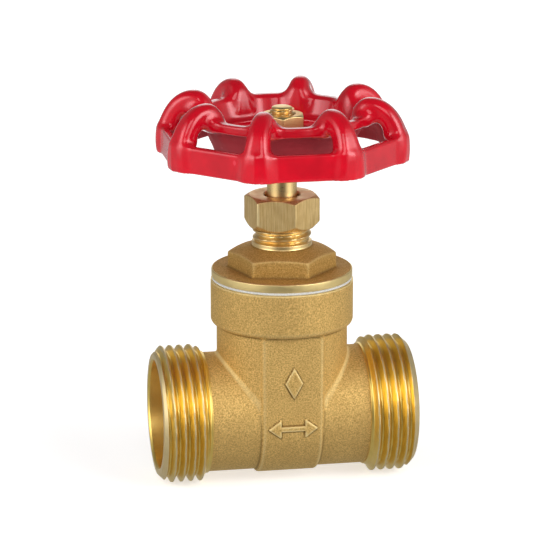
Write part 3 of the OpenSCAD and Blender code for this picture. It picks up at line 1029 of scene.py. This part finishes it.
# A lobe seen from the side: up its outer face, over the top, down into the bowl's rim and back underneath.
LOBE_OUTLINE = rounded_outline([
    (LOBE_R - 0.7, WHEEL_LOW - 0.2),
    (LOBE_R, WHEEL_LOW + 2.2),
    (LOBE_R - 0.2, WHEEL_LOW + 6.2),
    (LOBE_R - 2.0, WHEEL_LOW + 10.6),
    (LOBE_R - 4.4, WHEEL_LOW + 13.5),
    (LOBE_R - 7.5, WHEEL_TOP + 0.05),
    (LOBE_R - 10.7, WHEEL_TOP + 0.05),
    (LOBE_R - 12.9, WHEEL_TOP - 1.9),
    (RIM_R[0] - 1.7, RIM_Z[1] - 0.2),
    (RIM_R[0] - 1.8, RIM_Z[0] - 2.2),
    (RIM_R[0] - 1.0, RIM_Z[0] - 2.2),
    (RIM_R[0] + 0.4, RIM_Z[0] + 0.2),
    (RIM_R[1] + 1.6, RIM_Z[0] + 0.9),
    (LOBE_R - 6.0, RIM_Z[0] - 0.4),
    (LOBE_R - 5.7, WHEEL_LOW + 5.6),
    (LOBE_R - 3.2, WHEEL_LOW + 3.2),
    (LOBE_R - 2.9, WHEEL_LOW - 0.2),
], 2)


def handwheel(x, y, z):
    """Distance to the handwheel: octagonal band, lobes, bowl, spokes and hub in one blended casting."""
    r = np.hypot(x, y)
    around = np.arctan2(y, x) - math.radians(WHEEL_PHASE)
    a = (around + SECTOR / 2) % SECTOR - SECTOR / 2
    u, w = r * np.cos(a), r * np.sin(a)

    apothem = np.maximum(r * np.cos(SECTOR / 2 - a), r * np.cos(SECTOR / 2 + a))
    face = BAND_R * math.cos(SECTOR / 2) - BAND_LEAN * (z - WHEEL_LOW)
    band = rounded_both(slab(apothem, face - BAND_T, face), slab(z, WHEEL_LOW, BAND_TOP), 0.6)

    rise = np.clip((z - WHEEL_LOW) / (WHEEL_TOP - WHEEL_LOW), 0, 1)
    half_width = LOBE_HALF_WIDTH - LOBE_NARROWING * rise
    lobe = rounded_both(outline_distance(u, z, LOBE_OUTLINE), abs(w) - half_width, 1.7 + 0.3 * rise)

    cone = (r - BOWL_R - BOWL_SLOPE * (z - RIM_Z[0])) / math.hypot(1, BOWL_SLOPE)
    wall = rounded_both(slab(cone, -BOWL_WALL, 0), slab(z, BOWL_LOW, RIM_Z[1] - 0.4), 0.4)
    quarter = TAU / 4
    b = (around - SECTOR * 1.5 + quarter / 2) % quarter - quarter / 2
    window = rounded_both(slab(r, *WINDOW_R), SPOKE_HALF - r * abs(np.sin(b)), 1.2)
    plate = rounded_both(cone + 0.5, slab(z, *BOWL_FLOOR), 0.3)
    plate = soft_max(plate, -window, 0.5)
    rim = rounded_both(slab(r, *RIM_R), slab(z, *RIM_Z), 0.55)
    bowl = soft_min(wall, rim, 0.5)
    hub = rounded_both(r - HUB_R, slab(z, HUB_LOW, washer_low[2]), 0.5)
    centre = soft_min(plate, hub, 0.8)

    solid = soft_min(band, lobe, 1.9)
    solid = soft_min(solid, bowl, 3.0)
    solid = soft_min(solid, centre, 1.2)
    square = np.maximum(abs(r * np.cos(around)), abs(r * np.sin(around))) - SQUARE_AF / 2 - 0.05
    solid = np.maximum(solid, -np.maximum(square, slab(z, 60, washer_low[2] + 1)))
    return np.maximum(solid, slab(z, WHEEL_LOW, WHEEL_TOP))


def wheel_material(centres, normals):
    """1 on the hidden sides of the band and the bowl's wall, where the coating is thin and dull."""
    x, y, z = centres.T
    r = np.hypot(x, y)
    outward_facing = (normals[:, 0] * x + normals[:, 1] * y) / np.maximum(r, 0.1)
    back_of_bowl = (r < RIM_R[1] - 0.2) & (r > 15) & (outward_facing > 0.2) & (z < RIM_Z[0] + 0.1)
    under = (normals[:, 2] < -0.6) & (z > WHEEL_LOW + 0.5) & (r < RIM_R[1] - 0.3)
    inside_band = (r > 24) & (outward_facing < -0.6) & (z < BAND_TOP - 0.6)
    return np.where(back_of_bowl | under | inside_band, 1, 0)


def make_handwheel():
    """The wheel as one casting with its square hole."""
    mesh = net_mesh(handwheel, wheel_low, wheel_high, WHEEL_STEP)
    return new_piece("handwheel_casting", *mesh, [RED, RED_INNER], wheel_material, WHEEL_SHARP_ANGLE)


stand(make_handwheel(), "stem_and_wheel", "red_coating", "handwheel")


# ---------------------------------------------------------------- the finish of CAD parts that stay

for node, material in {
    "wedge": NUT_FACE,
    "stem_retaining_ring": RIM,
    "thrust_washer": PTFE,
    "packing_ring_lower": PACKING,
    "packing_ring_middle": PACKING,
    "packing_ring_upper": PACKING,
    "gland_follower": RIM,
}.items():
    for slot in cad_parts[node].material_slots:
        slot.material = material


# ---------------------------------------------------------------- floor, light and camera


def sun_light(name, azimuth, elevation, strength, softness):
    """Even light from far away; azimuth, counted from +X, elevation and softness are in degrees."""
    data = bpy.data.lights.new(name, "SUN")
    data.energy = strength
    data.angle = math.radians(softness)
    light = bpy.data.objects.new(name, data)
    turn, rise = math.radians(azimuth), math.radians(elevation)
    towards = Vector((math.cos(turn) * math.cos(rise), math.sin(turn) * math.cos(rise), math.sin(rise)))
    light.rotation_euler = (-towards).to_track_quat("-Z", "Y").to_euler()
    bpy.context.scene.collection.objects.link(light)


def make_floor():
    """A plain white floor that glows a little, and that the polished brass doesn't mirror."""
    size = 3.0
    level = cad_bounds[0][2] - 0.0002
    material, _, shader, _ = node_material("floor", (0.9, 0.9, 0.9), 0.0, 0.8)
    shader.inputs["Specular IOR Level"].default_value = 0.1
    shader.inputs["Emission Color"].default_value = (1, 1, 1, 1)
    shader.inputs["Emission Strength"].default_value = 0.55
    mesh = bpy.data.meshes.new("floor")
    corners = [(-size, -size, level), (size, -size, level), (size, size, level), (-size, size, level)]
    mesh.from_pydata(corners, [], [(0, 1, 2, 3)])
    mesh.materials.append(material)
    floor = bpy.data.objects.new("floor", mesh)
    bpy.context.scene.collection.objects.link(floor)
    floor.visible_glossy = False


def make_camera():
    """A long lens, a little to the left of the front and above."""
    azimuth, elevation, distance = math.radians(-10.5), math.radians(15.33), 0.732
    level = math.cos(elevation)
    back = Vector((math.sin(azimuth) * level, -math.cos(azimuth) * level, math.sin(elevation)))
    target = Vector((-0.00007, 0.00868, 0.03109))
    data = bpy.data.cameras.new("camera")
    data.lens = 196.36
    data.sensor_width = 36
    data.clip_end = 20
    camera = bpy.data.objects.new("camera", data)
    camera.location = target + back * distance
    camera.rotation_euler = (-back).to_track_quat("-Z", "Y").to_euler()
    bpy.context.scene.collection.objects.link(camera)
    bpy.context.scene.camera = camera


def make_world():
    """Studio surroundings: a tall soft box on each side of the camera, dark between them and above.

    Behind the object they are dim, with one narrow bright strip.
    """
    world = bpy.data.worlds.new("studio")
    world.use_nodes = True
    tree = world.node_tree
    background = tree.nodes["Background"]
    direction = tree.nodes.new("ShaderNodeTexCoord").outputs["Generated"]
    around = tree.nodes.new("ShaderNodeTexGradient")
    around.gradient_type = "RADIAL"
    tree.links.new(direction, around.inputs["Vector"])
    parts = tree.nodes.new("ShaderNodeSeparateXYZ")
    tree.links.new(direction, parts.inputs["Vector"])
    height = parts.outputs["Z"]
    boxes = level_ramp(tree, around.outputs["Fac"], BOX_LEVELS)
    low = level_ramp(tree, around.outputs["Fac"], LOW_LEVELS)
    tone = mixed(tree, spread(tree, height, -0.12, 0.14), low, boxes)
    tone = mixed(tree, spread(tree, height, 0.5, 0.8), tone, (TOP_LEVEL,) * 3)
    tone = mixed(tree, spread(tree, height, -0.32, -0.55), tone, (BELOW_LEVEL,) * 3)
    tree.links.new(tone, background.inputs["Color"])
    bpy.context.scene.world = world
    bpy.context.scene.view_settings.view_transform = "Standard"


def level_ramp(tree, position, levels):
    """Grey levels along a ramp, as (position, level) pairs."""
    ramp = tree.nodes.new("ShaderNodeValToRGB")
    ramp.color_ramp.interpolation = "EASE"
    ramp.color_ramp.elements[0].position = levels[0][0]
    ramp.color_ramp.elements[1].position = levels[-1][0]
    for place, level in levels[1:-1]:
        ramp.color_ramp.elements.new(place)
    for element, (place, level) in zip(ramp.color_ramp.elements, levels):
        element.color = (level, level, level, 1)
    tree.links.new(position, ramp.inputs["Fac"])
    return ramp.outputs["Color"]


# Brightness round the object, above and below the horizon; 0.22 is the camera's side, 0.5 is +X and
# 0.72 is behind.
BOX_LEVELS = [
    (0.0, 1.5), (0.03, 2.5), (0.09, 2.7), (0.14, 0.8), (0.18, 0.12), (0.27, 0.12),
    (0.315, 1.0), (0.36, 3.2), (0.42, 3.2), (0.47, 0.8), (0.55, 0.25), (0.65, 0.25),
    (0.7, 1.2), (0.74, 1.2), (0.78, 0.25), (0.9, 0.2), (0.96, 0.4), (1.0, 1.5),
]
LOW_LEVELS = [
    (0.0, 0.5), (0.1, 0.5), (0.16, 0.3), (0.19, 0.1), (0.28, 0.1), (0.33, 0.5), (0.5, 0.5),
    (0.65, 0.4), (0.7, 1.4), (0.74, 1.4), (0.77, 0.4), (0.94, 0.4), (1.0, 0.5),
]
TOP_LEVEL = 0.12
BELOW_LEVEL = 0.4

make_floor()
make_world()
sun_light("key", -150, 30, 0.3, 30)
sun_light("fill", -50, 28, 0.5, 30)
sun_light("front", -97, 36, 0.4, 26)
make_camera()
